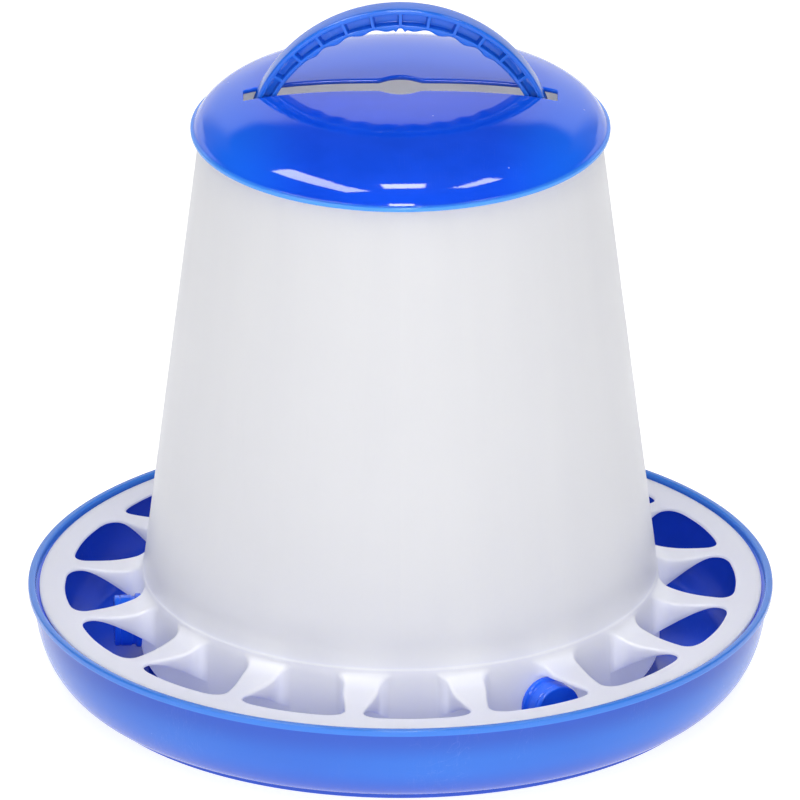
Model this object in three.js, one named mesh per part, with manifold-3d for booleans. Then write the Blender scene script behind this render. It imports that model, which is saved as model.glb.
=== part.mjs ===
// Gravity poultry feeder: a round trough pan with a spreading cone, a feed ring with a hole for each bird,
// a tapered hopper clipped on the ring, a domed lid, a carrying handle clipped inside the hopper's mouth that
// comes up through the lid's slot, and three knobs on bolts that clamp the ring's skirt to posts in the pan.
// Millimetres, +Z up. The origin is the middle of the pan's foot, on the ground. -Y is the front.
import * as THREE from "three";
import { mergeVertices } from "three/addons/utils/BufferGeometryUtils.js";
import Module from "manifold-3d";

const wasm = await Module();
wasm.setup();

// ---------------------------------------------------------------- driving dimensions
const SEGMENTS = 48; // facets in a full turn, a multiple of the number of feeding holes
const GAP = 0.3; // clearance between touching pieces
const WALL = 2.2; // pan, ring and lid walls

const PAN_RADIUS = 182.5; // outside of the lip
const PAN_HEIGHT = 46.7;
const PAN_WALL_TOP_RADIUS = 179.8; // outside of the wall, under the lip
const LIP_BOTTOM = 43.2;
const LIP_INNER_RADIUS = 178.9;
const LEDGE_Z = 43.1; // ledge inside the lip, where the feed ring rests
const LEDGE_RADIUS = 174.2; // inner edge of the ledge
const LEDGE_DEPTH = 2.4;
const FLOOR_Z = 5.2;
const FOOT_RADIUS = 158.5;
const FOOT_WIDTH = 3;
const FOOT_HEIGHT = 3;
const CONE_RADIUS = 110;
const CONE_TOP_Z = 54;
const CONE_NOSE_RADIUS = 20; // the cone's blunt tip
const CONE_NOSE_HEIGHT = 4;

const SKIRT_RADIUS = 127;
const SKIRT_BOTTOM_Z = 14;
const TAPER_START_Z = 46; // the skirt is straight below this, and tapers like the hopper above it
const TAPER = 0.121; // loss of radius for each mm of height
const SEAM_Z = 54; // where the ring ends and the hopper begins
const COLLAR_TOP_Z = 62; // the ring's collar inside the hopper's foot
const HOPPER_TOP_Z = 290;
const HOPPER_WALL = 2;
const COLLAR_WALL = 1.6;

const RING_RADIUS = 176.8;
const RING_TOP_Z = 45.4;
const RING_THICKNESS = 2;
const HOLE_COUNT = 16;
const HOLE_PHASE_DEG = 3;
const HOLE_OUTER_RADIUS = 164.5;
const HOLE_HALF_WIDTH = 26; // at its widest, near the rim
const HOLE_WIDEST_RADIUS = 155;
const HOLE_CORNER = 12; // length of the rounded corners along the rim
const HOLE_HALF_NECK = 16.5; // at the skirt, before its corners are rounded
const NECK_FILLET = 6;
const GUSSET_DEPTH = 17; // how far the walls along a hole's sides turn down at the skirt
const WEB_FILLET_RADIUS = 148; // where the webs begin to climb to the skirt
const WEB_FILLET_TOP_Z = 52.5;

const KNOB_COUNT = 3;
const KNOB_PHASE_DEG = 33.3;
const KNOB_Z = 28.5;
const KNOB_RADIUS = 12.5;
const KNOB_FLANGE_RADIUS = 13.2;
const KNOB_LENGTH = 13.6;
const KNOB_CLEARANCE = 0.6;
const KNOB_FLANGE = 2.8; // how far the flange stands from the skirt
const KNOB_GROOVE = 0.6;
const KNOB_FACE = 2.5; // thickness of the closed end
const BOLT_RADIUS = 3.6;
const BOLT_HEAD = 9; // side of the square head
const BOLT_HEAD_THICKNESS = 3.2;
const FEED_TRAVEL = 8; // how far the hopper lifts to open the feed gap

const POST_RADIUS = SKIRT_RADIUS - WALL - 0.8; // outer face of the posts, just inside the skirt
const POST_DEPTH = 10;
const POST_WIDTH = 19;
const POST_TOP_Z = 45;

const LID_Z = 286; // underside of the brim
const LID_RISE = 24; // brim to crown
const LID_BRIM_RADIUS = 102.5;
const LID_RIB_RADIUS = 93.8; // rib that drops inside the hopper's mouth
const LID_RIB_DEPTH = 3;
const LID_RIB_WALL = 1.6;
const BRIM_THICKNESS = 2.4;
const SLOT_HALF_LENGTH = 76.5;
const SLOT_WIDTH = 13;
const SLOT_EYE_RADIUS = 11;

const ARCH_Z = 275.9; // centre of the handle's arch
const ARCH_RADIUS = 76;
const HANDLE_BAND = 8; // radial height of the handle's section at its legs
const GRIP_THICKENING = 2.4; // extra height at the top of the arch
const HANDLE_WIDTH = 11;
const HANDLE_WEB = 2;
const OUTER_FLANGE = 2.7;
const INNER_FLANGE = 2.1;
const RIB_PITCH_DEG = 11.3;
const RIB_THICKNESS = 1.5;
const CELLS_PER_SIDE = 6;
const GRIP_HALF_DEG = 45; // the finger waves reach this far from the top

const BRACKET_Z = 272; // top of the shelves that hold the handle's feet
const BRACKET_THICKNESS = 3.5;
const BRACKET_INNER_X = 62;
const BRACKET_WIDTH = 24;
const GUSSET_HEIGHT = 20;
const GUSSET_WIDTH = 3;
const CLIP_CLEARANCE = 0.4;
const STEM_WIDTH = 5;
const STEM_X = ARCH_RADIUS - HANDLE_BAND / 2;
const BARB = 1.1;
const BARB_LENGTH = 6;

const BLUE = 0x1850e0;
const PAN_BLUE = 0x2a5fe0;
const MILKY_WHITE = 0xeceef2;

// ---------------------------------------------------------------- solids
const rad = THREE.MathUtils.degToRad;
const pt = (x, y) => new THREE.Vector2(x, y);

// A three.js geometry as a closed manifold solid, turned right side out.
function solid(geometry) {
  geometry.deleteAttribute("normal");
  geometry.deleteAttribute("uv");
  const merged = mergeVertices(geometry, 1e-4);
  const source = merged.index.array;
  const faces = [];
  for (let i = 0; i < source.length; i += 3) {
    const [a, b, c] = [source[i], source[i + 1], source[i + 2]];
    if (a !== b && b !== c && c !== a) faces.push(a, b, c);
  }
  const vertProperties = merged.attributes.position.array;
  const make = (list) =>
    new wasm.Manifold(new wasm.Mesh({ numProp: 3, vertProperties, triVerts: new Uint32Array(list) }));
  const made = make(faces);
  return made.volume() > 0 ? made : make(faces.reverse());
}

// A manifold solid as a three.js geometry.
function geometryOf(body) {
  const mesh = body.getMesh();
  const positions = new Float32Array(mesh.numVert * 3);
  for (let i = 0; i < mesh.numVert; i += 1) {
    positions.set(mesh.vertProperties.subarray(i * mesh.numProp, i * mesh.numProp + 3), i * 3);
  }
  return new THREE.BufferGeometry()
    .setAttribute("position", new THREE.BufferAttribute(positions, 3))
    .setIndex(new THREE.BufferAttribute(mesh.triVerts, 1));
}

// A profile of (radius, height) points turned about the Z axis.
function turned(points, segments = SEGMENTS) {
  return solid(new THREE.LatheGeometry(points, segments).rotateX(Math.PI / 2));
}

// The same, for an outline that closes on itself away from the axis.
function turnedRing(points) {
  return turned([...points, points[0].clone()]);
}

function box(width, depth, height, x, y, z) {
  return solid(new THREE.BoxGeometry(width, depth, height).translate(x, y, z));
}

// A cylinder along Y, between two distances in front of the axis.
function radialRod(radius, from, to, z, segments = 24) {
  const rod = new THREE.CylinderGeometry(radius, radius, to - from, segments);
  return solid(rod.translate(0, -(from + to) / 2, z));
}

// A shape drawn in X and Z, given a thickness centred on Y.
function plate(shape, depth, middle = 0) {
  const settings = { depth, bevelEnabled: false, curveSegments: 24 };
  const geometry = new THREE.ExtrudeGeometry(shape, settings).rotateX(Math.PI / 2);
  return solid(geometry.translate(0, middle + depth / 2, 0));
}

// A shape drawn in X and Y, standing between two heights.
function column(shape, bottom, top, curveSegments) {
  const settings = { depth: top - bottom, bevelEnabled: false, curveSegments };
  return solid(new THREE.ExtrudeGeometry(shape, settings).translate(0, 0, bottom));
}

const joined = (bodies) => bodies.reduce((sum, body) => sum.add(body));
const cut = (body, tools) => tools.reduce((rest, tool) => rest.subtract(tool), body);
const around = (body, angles) => angles.map((angle) => body.rotate([0, 0, angle]));
const turns = (count, phase) => Array.from({ length: count }, (_, i) => phase + (360 / count) * i);
const knobAngles = turns(KNOB_COUNT, KNOB_PHASE_DEG);
const hopperRadius = (z) => SKIRT_RADIUS - TAPER * (z - TAPER_START_Z);

// A profile moved to its left by a distance, each point along the bisector of its neighbours.
function offset(points, distance) {
  return points.map((point, i) => {
    const before = points[Math.max(i - 1, 0)];
    const after = points[Math.min(i + 1, points.length - 1)];
    const along = after.clone().sub(before).normalize();
    return pt(point.x - along.y * distance, point.y + along.x * distance);
  });
}

// ---------------------------------------------------------------- base pan
// Outside of the trough wall, from the foot up to the lip.
const panWall = new THREE.CubicBezierCurve(
  pt(FOOT_RADIUS, FOOT_HEIGHT),
  pt(FOOT_RADIUS + 11.5, FOOT_HEIGHT + 1),
  pt(PAN_WALL_TOP_RADIUS - 0.3, FOOT_HEIGHT + 17),
  pt(PAN_WALL_TOP_RADIUS, LIP_BOTTOM),
).getPoints(6);

function basePan() {
  const inside = offset(panWall, WALL);
  inside[inside.length - 1] = pt(PAN_WALL_TOP_RADIUS - WALL, LEDGE_Z - 2 * LEDGE_DEPTH);
  const under = FLOOR_Z - WALL;
  const profile = [
    pt(0, CONE_TOP_Z - WALL),
    pt(CONE_NOSE_RADIUS, CONE_TOP_Z - CONE_NOSE_HEIGHT - WALL),
    pt(CONE_RADIUS + 1, under),
    pt(FOOT_RADIUS - FOOT_WIDTH, under),
    pt(FOOT_RADIUS - FOOT_WIDTH, 0),
    pt(FOOT_RADIUS, 0),
    ...panWall,
    pt(PAN_RADIUS, LIP_BOTTOM),
    pt(PAN_RADIUS, PAN_HEIGHT),
    pt(LIP_INNER_RADIUS, PAN_HEIGHT),
    pt(LIP_INNER_RADIUS, LEDGE_Z),
    pt(LEDGE_RADIUS, LEDGE_Z),
    pt(LEDGE_RADIUS, LEDGE_Z - LEDGE_DEPTH),
    ...inside.reverse(),
    pt(CONE_RADIUS, FLOOR_Z),
    pt(CONE_NOSE_RADIUS, CONE_TOP_Z - CONE_NOSE_HEIGHT),
    pt(0, CONE_TOP_Z),
  ];
  return joined([turned(profile), ...around(post(), knobAngles)]);
}

// A channel-shaped post on the pan's floor, open towards the middle, with the hole for a clamp bolt.
function post() {
  const bottom = FLOOR_Z - WALL / 2;
  const height = POST_TOP_Z - bottom;
  const middle = bottom + height / 2;
  const y = POST_DEPTH / 2 - POST_RADIUS;
  const block = box(POST_WIDTH, POST_DEPTH, height, 0, y, middle);
  const inside = box(POST_WIDTH - 2 * WALL, POST_DEPTH, height + 2, 0, y + WALL, middle);
  const boltHole = radialRod(BOLT_RADIUS + GAP, POST_RADIUS - 2 * WALL, POST_RADIUS + WALL, KNOB_Z);
  return block.subtract(inside).subtract(boltHole);
}

// ---------------------------------------------------------------- feed ring
// Plan outline of one feeding hole at the front, reaching inside the skirt; margin makes it larger.
function holeShape(margin) {
  const neck = HOLE_HALF_NECK + margin;
  const wide = HOLE_HALF_WIDTH + margin;
  const far = HOLE_OUTER_RADIUS + margin;
  const inner = SKIRT_RADIUS - WALL / 2;
  const shape = new THREE.Shape();
  const side = HOLE_WIDEST_RADIUS;
  const corner = wide - HOLE_CORNER;
  const neckEnd = inner + NECK_FILLET;
  shape.moveTo(NECK_FILLET - neck, -inner);
  shape.quadraticCurveTo(-neck, -inner - 1, -neck - 0.7, -neckEnd);
  shape.bezierCurveTo(-neck - 1.5, -neckEnd - 5, -wide + 3, -side + 10, -wide, -side);
  shape.bezierCurveTo(-wide - 1, -side - 6.5, -corner - 5, -far + 1.5, -corner, -far + 1);
  shape.quadraticCurveTo(0, -far - 1, corner, -far + 1);
  shape.bezierCurveTo(corner + 5, -far + 1.5, wide + 1, -side - 6.5, wide, -side);
  shape.bezierCurveTo(wide - 3, -side + 10, neck + 1.5, -neckEnd - 5, neck + 0.7, -neckEnd);
  shape.quadraticCurveTo(neck, -inner - 1, neck - NECK_FILLET, -inner);
  shape.closePath();
  return shape;
}

// Height of the webs' top, from the skirt out to where they are flat.
function webTop(lower) {
  return new THREE.QuadraticBezierCurve(
    pt(SKIRT_RADIUS - 1, WEB_FILLET_TOP_Z - lower),
    pt(SKIRT_RADIUS + 3, RING_TOP_Z - lower),
    pt(WEB_FILLET_RADIUS, RING_TOP_Z - lower),
  ).getPoints(4);
}

function feedRing() {
  const flare = turnedRing([
    ...webTop(0),
    pt(RING_RADIUS, RING_TOP_Z),
    pt(RING_RADIUS, RING_TOP_Z - RING_THICKNESS),
    ...webTop(RING_THICKNESS).reverse(),
  ]);
  // Where the walls that turn down along the holes' sides may be: deep at the skirt, nothing at the rim.
  const wallSpace = turnedRing([
    ...webTop(RING_THICKNESS / 2),
    pt(WEB_FILLET_RADIUS + 8, RING_TOP_Z - RING_THICKNESS / 2),
    pt(WEB_FILLET_RADIUS + 8, RING_TOP_Z - RING_THICKNESS),
    pt(WEB_FILLET_RADIUS - 3, RING_TOP_Z - 0.3 * GUSSET_DEPTH),
    pt(SKIRT_RADIUS + 8, RING_TOP_Z - 0.65 * GUSSET_DEPTH),
    pt(SKIRT_RADIUS - 1, RING_TOP_Z - GUSSET_DEPTH),
  ]);
  const bottom = SKIRT_BOTTOM_Z;
  const top = COLLAR_TOP_Z;
  const hole = column(holeShape(0), bottom, top, 3);
  const walls = column(holeShape(RING_THICKNESS), bottom, top, 3).subtract(hole).intersect(wallSpace);
  const angles = turns(HOLE_COUNT, HOLE_PHASE_DEG);
  const deck = joined([cut(flare, around(hole, angles)), ...around(walls, angles)]);
  const cleared = cut(deck, around(knobSpace(), knobAngles));
  const seamRadius = hopperRadius(SEAM_Z);
  const collar = (z) => hopperRadius(z) - HOPPER_WALL - GAP;
  const skirt = turnedRing([
    pt(SKIRT_RADIUS - WALL, SKIRT_BOTTOM_Z),
    pt(SKIRT_RADIUS, SKIRT_BOTTOM_Z),
    pt(SKIRT_RADIUS, TAPER_START_Z),
    pt(seamRadius, SEAM_Z),
    pt(collar(SEAM_Z), SEAM_Z),
    pt(collar(COLLAR_TOP_Z), COLLAR_TOP_Z),
    pt(collar(COLLAR_TOP_Z) - COLLAR_WALL, COLLAR_TOP_Z),
    pt(collar(SEAM_Z) - COLLAR_WALL, SEAM_Z - 2),
    pt(SKIRT_RADIUS - WALL, TAPER_START_Z + 0.5),
  ]);
  return cut(cleared.add(skirt), around(heightSlot(), knobAngles));
}

// The space kept clear round a knob, a little wider at its flange.
function knobSpace() {
  const flangeEnd = SKIRT_RADIUS + KNOB_FLANGE + KNOB_CLEARANCE;
  const knobEnd = SKIRT_RADIUS + KNOB_LENGTH + 5 * KNOB_CLEARANCE;
  const flange = radialRod(KNOB_FLANGE_RADIUS + KNOB_CLEARANCE, SKIRT_RADIUS - 0.5, flangeEnd, KNOB_Z);
  return flange.add(radialRod(KNOB_RADIUS + KNOB_CLEARANCE, SKIRT_RADIUS, knobEnd, KNOB_Z));
}

// The upright slot in the skirt that slides on a clamp bolt as the hopper is lifted.
function heightSlot() {
  const half = BOLT_RADIUS + GAP;
  const shape = new THREE.Shape();
  shape.absarc(0, KNOB_Z, half, 0, Math.PI, false);
  shape.absarc(0, KNOB_Z - FEED_TRAVEL, half, Math.PI, 2 * Math.PI, false);
  shape.closePath();
  const depth = 4 * WALL;
  const settings = { depth, bevelEnabled: false, curveSegments: 10 };
  const slot = new THREE.ExtrudeGeometry(shape, settings).rotateX(Math.PI / 2);
  return solid(slot.translate(0, depth / 2 - SKIRT_RADIUS, 0));
}

// ---------------------------------------------------------------- hopper
function hopper() {
  const foot = SEAM_Z + GAP;
  const shell = turnedRing([
    pt(hopperRadius(foot), foot),
    pt(hopperRadius(HOPPER_TOP_Z), HOPPER_TOP_Z),
    pt(hopperRadius(HOPPER_TOP_Z) - HOPPER_WALL, HOPPER_TOP_Z),
    pt(hopperRadius(foot) - HOPPER_WALL, foot),
  ]);
  return joined([shell, bracket(1), bracket(-1)]);
}

// A shelf with a gusset inside the hopper's mouth, with the hole that a foot of the handle clips into.
function bracket(side) {
  const z = BRACKET_Z - BRACKET_THICKNESS / 2;
  const outer = hopperRadius(z) - HOPPER_WALL / 2;
  const middle = (side * (outer + BRACKET_INNER_X)) / 2;
  const shelf = box(outer - BRACKET_INNER_X, BRACKET_WIDTH, BRACKET_THICKNESS, middle, 0, z);
  const under = BRACKET_Z - BRACKET_THICKNESS + 0.5;
  const gusset = new THREE.Shape([
    pt(side * (STEM_X + STEM_WIDTH), under),
    pt(side * outer, under),
    pt(side * outer, under - GUSSET_HEIGHT),
  ]);
  const clipLength = STEM_WIDTH + 2 * CLIP_CLEARANCE;
  const clip = box(clipLength, HANDLE_WIDTH + 2 * CLIP_CLEARANCE, GUSSET_HEIGHT, side * STEM_X, 0, z);
  return shelf.add(plate(gusset, GUSSET_WIDTH)).subtract(clip);
}

// ---------------------------------------------------------------- lid
function lid() {
  const crown = new THREE.SplineCurve([
    pt(LID_BRIM_RADIUS - 2, LID_Z + 3.5),
    pt(LID_BRIM_RADIUS - 6.5, LID_Z + 9.5),
    pt(80, LID_Z + 17.5),
    pt(60, LID_Z + 21.5),
    pt(35, LID_Z + 23.6),
    pt(0, LID_Z + LID_RISE),
  ]).getPoints(9);
  const inside = offset(crown, WALL);
  inside[inside.length - 1] = pt(0, LID_Z + LID_RISE - WALL);
  const shell = turned([
    ...inside.reverse(),
    pt(LID_BRIM_RADIUS - 2.6, LID_Z),
    pt(LID_BRIM_RADIUS, LID_Z),
    pt(LID_BRIM_RADIUS, LID_Z + BRIM_THICKNESS),
    ...crown,
  ]);
  const rib = turnedRing([
    pt(LID_RIB_RADIUS - LID_RIB_WALL, LID_Z - LID_RIB_DEPTH),
    pt(LID_RIB_RADIUS, LID_Z - LID_RIB_DEPTH),
    pt(LID_RIB_RADIUS, LID_Z + 10.3),
    pt(LID_RIB_RADIUS - LID_RIB_WALL, LID_Z + 10.6),
  ]);
  const slot = box(2 * SLOT_HALF_LENGTH, SLOT_WIDTH, LID_RISE, 0, 0, LID_Z + LID_RISE);
  const eye = new THREE.CylinderGeometry(SLOT_EYE_RADIUS, SLOT_EYE_RADIUS, LID_RISE, 24);
  const eyeTool = solid(eye.rotateX(Math.PI / 2).translate(0, 0, LID_Z + LID_RISE));
  return joined([shell, rib]).subtract(slot).subtract(eyeTool);
}

// ---------------------------------------------------------------- handle
function onArch(radius, degrees) {
  return pt(radius * Math.sin(rad(degrees)), ARCH_Z + radius * Math.cos(rad(degrees)));
}

const innerRadius = ARCH_RADIUS - HANDLE_BAND;

// Inside of the arch without its waves: deepest at the top of the grip.
const plainRadius = (degrees) => innerRadius - GRIP_THICKENING * Math.cos(rad(degrees)) ** 2;

// Finger waves on the inside of the grip, and two small teeth in the middle that seat a hanging hook.
function gripRadius(degrees) {
  const away = Math.abs(degrees);
  if (away > GRIP_HALF_DEG) return plainRadius(degrees);
  if (away === 1.5) return plainRadius(degrees) - 1.4;
  return plainRadius(degrees) - 0.4 + 0.5 * Math.cos((2 * Math.PI * degrees) / RIB_PITCH_DEG);
}

// One foot below the arch: a shoulder on the shelf, a stem through it and a barb under it.
function footOutline(side) {
  const shoulder = BRACKET_Z + GAP;
  const under = BRACKET_Z - BRACKET_THICKNESS - GAP;
  const half = STEM_WIDTH / 2;
  return [
    pt(side * ARCH_RADIUS, shoulder),
    pt(side * (STEM_X + half), shoulder),
    pt(side * (STEM_X + half), under),
    pt(side * (STEM_X + half + BARB), under),
    pt(side * (STEM_X + 1), under - BARB_LENGTH),
    pt(side * (STEM_X - 1), under - BARB_LENGTH),
    pt(side * (STEM_X - half - BARB), under),
    pt(side * (STEM_X - half), under),
    pt(side * (STEM_X - half), shoulder),
    pt(side * innerRadius, shoulder),
  ];
}

function handleOutline() {
  const outer = [];
  for (let degrees = 90; degrees >= -90; degrees -= 6) outer.push(onArch(ARCH_RADIUS, degrees));
  const inner = [];
  for (let degrees = -90; degrees <= 90; degrees += 1.5) {
    const onGrip = Math.abs(degrees) <= GRIP_HALF_DEG;
    if (onGrip || degrees % 9 === 0) inner.push(onArch(gripRadius(degrees), degrees));
  }
  return new THREE.Shape([...outer, ...footOutline(-1), ...inner, ...footOutline(1).reverse()]);
}

// One side pocket between two ribs.
function cellShape(from, to) {
  const high = ARCH_RADIUS - OUTER_FLANGE;
  const stations = [from, (from + to) / 2, to];
  const low = stations.map((degrees) => onArch(plainRadius(degrees) + INNER_FLANGE, degrees));
  const top = stations.map((degrees) => onArch(high, degrees));
  return new THREE.Shape([...low, ...top.reverse()]);
}

function handle() {
  const depth = (HANDLE_WIDTH - HANDLE_WEB) / 2;
  const ribHalf = THREE.MathUtils.radToDeg(RIB_THICKNESS / 2 / ARCH_RADIUS);
  const cells = [];
  for (let i = -CELLS_PER_SIDE; i < CELLS_PER_SIDE; i += 1) {
    const shape = cellShape(i * RIB_PITCH_DEG + ribHalf, (i + 1) * RIB_PITCH_DEG - ribHalf);
    for (const side of [-1, 1]) {
      cells.push(plate(shape, depth + 1, (side * (HANDLE_WEB + depth + 1)) / 2));
    }
  }
  return cut(plate(handleOutline(), HANDLE_WIDTH), cells);
}

// ---------------------------------------------------------------- clamp knob and bolt
// Both are built along +Z, which points away from the hopper, with the skirt's outer face at 0.
function clampKnob() {
  const bore = BOLT_RADIUS + GAP;
  const boreEnd = KNOB_LENGTH - KNOB_FACE;
  const grooveRadius = KNOB_RADIUS - KNOB_GROOVE;
  return turned(
    [
      pt(0, boreEnd),
      pt(bore, boreEnd),
      pt(bore, GAP),
      pt(KNOB_FLANGE_RADIUS, GAP),
      pt(KNOB_FLANGE_RADIUS, KNOB_FLANGE),
      pt(grooveRadius, KNOB_FLANGE + 0.8),
      pt(grooveRadius, KNOB_FLANGE + 1.8),
      pt(KNOB_RADIUS, KNOB_FLANGE + 2.4),
      pt(KNOB_RADIUS, KNOB_LENGTH - 1.8),
      pt(KNOB_RADIUS - 0.5, KNOB_LENGTH - 0.5),
      pt(KNOB_RADIUS - 1.8, KNOB_LENGTH),
      pt(0, KNOB_LENGTH),
    ],
    20,
  );
}

function clampBolt() {
  const headTop = POST_RADIUS - WALL - GAP - SKIRT_RADIUS;
  const tip = KNOB_LENGTH - 4;
  const shank = turned(
    [
      pt(0, headTop - 1),
      pt(BOLT_RADIUS, headTop - 1),
      pt(BOLT_RADIUS, tip - 1),
      pt(BOLT_RADIUS - 1, tip),
      pt(0, tip),
    ],
    16,
  );
  const headMiddle = headTop - BOLT_HEAD_THICKNESS / 2;
  return shank.add(box(BOLT_HEAD, BOLT_HEAD, BOLT_HEAD_THICKNESS, 0, 0, headMiddle));
}

// ---------------------------------------------------------------- assembly
const feeder = new THREE.Group();

function plastic(color, roughness) {
  return new THREE.MeshStandardMaterial({ color, roughness, metalness: 0 });
}

function piece(name, body, material) {
  const mesh = new THREE.Mesh(geometryOf(body), material);
  mesh.name = name;
  return mesh;
}

feeder.add(piece("base_pan", basePan(), plastic(PAN_BLUE, 0.3)));
feeder.add(piece("feed_ring", feedRing(), plastic(MILKY_WHITE, 0.4)));
feeder.add(piece("hopper", hopper(), plastic(MILKY_WHITE, 0.4)));
feeder.add(piece("lid", lid(), plastic(BLUE, 0.2)));
feeder.add(piece("handle", handle(), plastic(PAN_BLUE, 0.3)));

knobAngles.forEach((angle, i) => {
  const station = new THREE.Group();
  station.rotation.z = rad(angle);
  for (const [name, body] of [["clamp_knob", clampKnob()], ["clamp_bolt", clampBolt()]]) {
    const mesh = piece(`${name}_${i + 1}`, body, plastic(BLUE, 0.25));
    mesh.rotation.x = Math.PI / 2;
    mesh.position.set(0, -SKIRT_RADIUS, KNOB_Z);
    station.add(mesh);
  }
  feeder.add(station);
});

export default feeder;
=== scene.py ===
import math

import bmesh
import bpy
from mathutils import Matrix, Vector


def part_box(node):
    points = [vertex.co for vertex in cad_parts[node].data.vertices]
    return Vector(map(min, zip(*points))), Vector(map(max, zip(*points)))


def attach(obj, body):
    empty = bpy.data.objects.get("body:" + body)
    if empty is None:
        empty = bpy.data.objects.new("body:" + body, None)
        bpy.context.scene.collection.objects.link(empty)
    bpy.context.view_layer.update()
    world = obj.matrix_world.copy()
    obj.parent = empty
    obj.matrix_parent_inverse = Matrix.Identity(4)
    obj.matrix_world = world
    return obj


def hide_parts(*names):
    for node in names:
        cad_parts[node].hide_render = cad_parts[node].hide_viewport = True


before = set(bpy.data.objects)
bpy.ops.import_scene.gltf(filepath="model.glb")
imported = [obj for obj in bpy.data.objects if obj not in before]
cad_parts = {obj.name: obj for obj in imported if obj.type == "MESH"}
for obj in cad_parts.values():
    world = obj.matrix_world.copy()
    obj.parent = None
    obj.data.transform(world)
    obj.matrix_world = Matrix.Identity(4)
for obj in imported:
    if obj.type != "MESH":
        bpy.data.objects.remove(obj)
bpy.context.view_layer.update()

MM = 0.001

# ------------------------------------------------------------------ sizes
_, pan_high = (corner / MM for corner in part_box("base_pan"))
ring_low, ring_high = (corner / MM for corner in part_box("feed_ring"))
hopper_low, hopper_high = (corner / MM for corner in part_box("hopper"))
lid_low, lid_high = (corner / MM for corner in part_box("lid"))
_, handle_high = (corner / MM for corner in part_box("handle"))

WALL = 2.2
PAN_RADIUS = pan_high.x
CONE_TOP = pan_high.z
CONE_RADIUS = 110
CONE_NOSE_RADIUS = 20
CONE_NOSE_HEIGHT = 4
CONE_NOSE_ROUND = 14
CONE_FOOT_ROUND = 16
RIM_TOP = 46.7
LIP_BOTTOM = 43.2
LIP_INNER = PAN_RADIUS - 3.6
LEDGE = 43.1
LEDGE_RADIUS = 174.2
LEDGE_DEPTH = 2.4
WALL_TOP_RADIUS = PAN_RADIUS - 2.7
FLOOR = 5.2
FOOT_RADIUS = 158.5
FOOT_WIDTH = 3
FOOT_HEIGHT = 3
WALL_FLARE = 11.5  # how far the trough's wall runs out before it turns up
WALL_BEND = 17

RING_RADIUS = ring_high.x
RING_TOP = 45.4
RING_THICKNESS = 2
SKIRT_RADIUS = 127
SKIRT_BOTTOM = ring_low.z
COLLAR_TOP = ring_high.z
TAPER_START = 46
TAPER = 0.121
SEAM = hopper_low.z
HOPPER_TOP = hopper_high.z
HOPPER_WALL = 2
HOLE_COUNT = 16
HOLE_PHASE = 3
HOLE_FAR = 164.5
HOLE_WIDE = 26
HOLE_WIDEST = 155
HOLE_CORNER = 12
HOLE_NECK = 16.5
NECK_FILLET = 6
WEB_ROOT_TOP = 52.5
WEB_FLAT_RADIUS = 148
GUSSET_DEPTH = 17  # how far the walls along a hole's sides turn down at the skirt
GUSSET_END = 156  # radius where they have run out
EDGE_ROUND = 1.4
HOLE_PITCH = 360 / HOLE_COUNT
COLLAR_WALL = 1.6
SEAM_GAP = 0.32  # from the hopper's CAD foot down to the skirt's shoulder

KNOB_COUNT = 3
KNOB_PHASE = 33.3
KNOB_Z = 28.5
KNOB_RADIUS = 12.5
KNOB_LENGTH = 13.6
FEED_TRAVEL = 8
BOLT_RADIUS = 3.6
BORE_RADIUS = BOLT_RADIUS + 0.3
KNOB_CLEARANCE = 2.4
KNOB_PITCH = 360 / KNOB_COUNT
POST_RADIUS = SKIRT_RADIUS - WALL - 0.8
POST_WIDTH = 19
POST_DEPTH = 10
POST_TOP = 45

BRIM_RADIUS = lid_high.x
LID_BASE = lid_low.z + 3  # the brim's underside, 3 mm above the foot of the rib
LID_RISE = lid_high.z - LID_BASE
SLOT_HALF_LENGTH = 76.5
SLOT_HALF_WIDTH = 6.5
SLOT_CORNER = 1.5
EYE_RADIUS = 11
BRIM_THICKNESS = 2.4
LID_RIB_RADIUS = 93.8
LID_RIB_WALL = 1.6
LID_RIB_DROP = 3

ARCH_RADIUS = handle_high.x
ARCH_Z = handle_high.z - ARCH_RADIUS
HANDLE_HALF_WIDTH = handle_high.y
HANDLE_BAND = 8
GRIP_THICKENING = 2.4
RIB_PITCH = 11.3
RIB_THICKNESS = 1.5
CELLS_PER_SIDE = 6
GRIP_HALF = 45
BRACKET_Z = 272
BRACKET_THICKNESS = 3.5
BRACKET_INNER = 62
BRACKET_WIDTH = 24
BRACKET_GUSSET = 20
BRACKET_GUSSET_WIDTH = 3
STEM_CLEARANCE = 0.4
STEM_WIDTH = 5
STEM_X = ARCH_RADIUS - HANDLE_BAND / 2
BARB_REACH = 1.1
BARB_EDGE = 0.5
BARB_LENGTH = 6

WIDTH_SEEN = 391.2
VIEW_ELEVATION = 23.4
FLOOR_HALF_SIZE = 6000

TURN = 2 * math.pi
LATHE_STEPS = 320


# ------------------------------------------------------------------ curves
def polar(radius, degrees, z):
    """A point at an angle from the front, turning towards +X."""
    angle = math.radians(degrees)
    return (radius * math.sin(angle), -radius * math.cos(angle), z)


def bezier(a, b, c, d, steps):
    points = []
    for i in range(steps + 1):
        t = i / steps
        weights = ((1 - t) ** 3, 3 * t * (1 - t) ** 2, 3 * t * t * (1 - t), t ** 3)
        points.append(tuple(sum(w * p[k] for w, p in zip(weights, (a, b, c, d))) for k in (0, 1)))
    return points


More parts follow.
